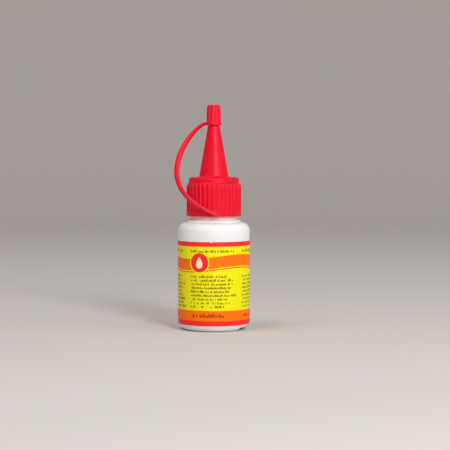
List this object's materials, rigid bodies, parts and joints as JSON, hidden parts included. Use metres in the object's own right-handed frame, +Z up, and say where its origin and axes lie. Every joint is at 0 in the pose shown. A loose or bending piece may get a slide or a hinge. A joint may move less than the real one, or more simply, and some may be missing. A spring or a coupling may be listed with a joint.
{
  "type": "glue bottle",
  "caption": "Small round squeeze bottle of glue in a wrap label, closed by a ribbed screw cap with a cone nozzle and a fluted tip cap that hangs on a looped strap.",
  "frame": {"origin": "on the bottle's axis, in the plane that the foot ring stands on", "axes": "+Z up along the bottle's axis to the tip cap; the parting line of the bottle lies 3 degrees clockwise from +X seen from above, and the strap loops out between -X and -Y"},
  "size_m": [0.0322, 0.0325, 0.0998],
  "materials": {
    "bottle_white": "satin blow-moulded white polyethylene",
    "label_film": "satin printed film in yellow, orange and red",
    "glue": "thick white liquid",
    "seal_foam": "matte foamed polyethylene",
    "closure_red": "satin injection-moulded red polyethylene"
  },
  "bodies": {
    "bottle": {"bottle_body": "bottle_white", "wrap_label": "label_film", "glue_fill": "glue"},
    "seal": {"seal_ring": "seal_foam"},
    "closure": {"nozzle_cap": "closure_red", "tether_strap": "closure_red"},
    "tip": {"tip_cap": "closure_red"}
  },
  "joints": [
    {"name": "cap_rise", "type": "slide", "parent": "bottle", "child": "seal", "axis": [0, 0, 1], "range_m": [0, 0.0048]},
    {"name": "cap_turn", "type": "hinge", "parent": "seal", "child": "closure", "pos_m": [0, 0, 0.0635], "axis": [0, 0, 1], "range_deg": [0, 540]},
    {"name": "tip_cap_pull", "type": "slide", "parent": "closure", "child": "tip", "axis": [0, 0, 1], "range_m": [0, 0.009], "deforming": ["tether_strap"]}
  ],
  "couplings": [
    {"joint": "cap_rise", "follows": "cap_turn", "m_per_rad": 0.00050532}
  ]
}
